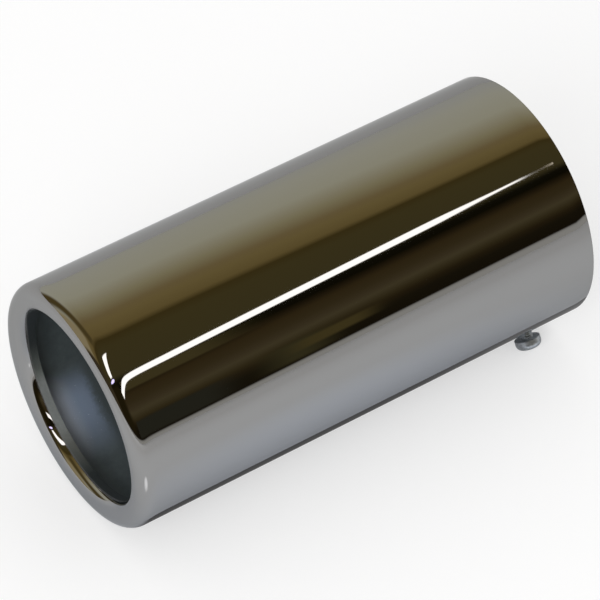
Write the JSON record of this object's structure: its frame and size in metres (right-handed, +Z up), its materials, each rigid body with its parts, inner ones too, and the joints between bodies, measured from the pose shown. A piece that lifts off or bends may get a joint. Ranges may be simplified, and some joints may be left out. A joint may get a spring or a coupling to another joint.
{
  "type": "exhaust tip",
  "caption": "Straight round exhaust tip with a rolled-in lip, held on the tail pipe by a clamp screw.",
  "frame": {"origin": "on the surface that the tip lies on, below the middle of the tube's length", "axes": "+X along the tube from the mouth to the rear edge, +Z up, with the screw on the -Y side"},
  "size_m": [0.155, 0.076, 0.076],
  "materials": {
    "chrome": "polished chrome outside, dull inside",
    "bare_steel": "plain steel with weld scale",
    "zinc": "bright zinc plate"
  },
  "bodies": {
    "tip": {"sleeve": "chrome", "weld_nut": "bare_steel"},
    "screw": {"clamp_screw": "zinc"}
  },
  "joints": [
    {"name": "screw_travel", "type": "slide", "parent": "tip", "child": "screw", "axis": [0, -0.5793, -0.8151], "range_m": [-0.00345, 0.0118]}
  ]
}
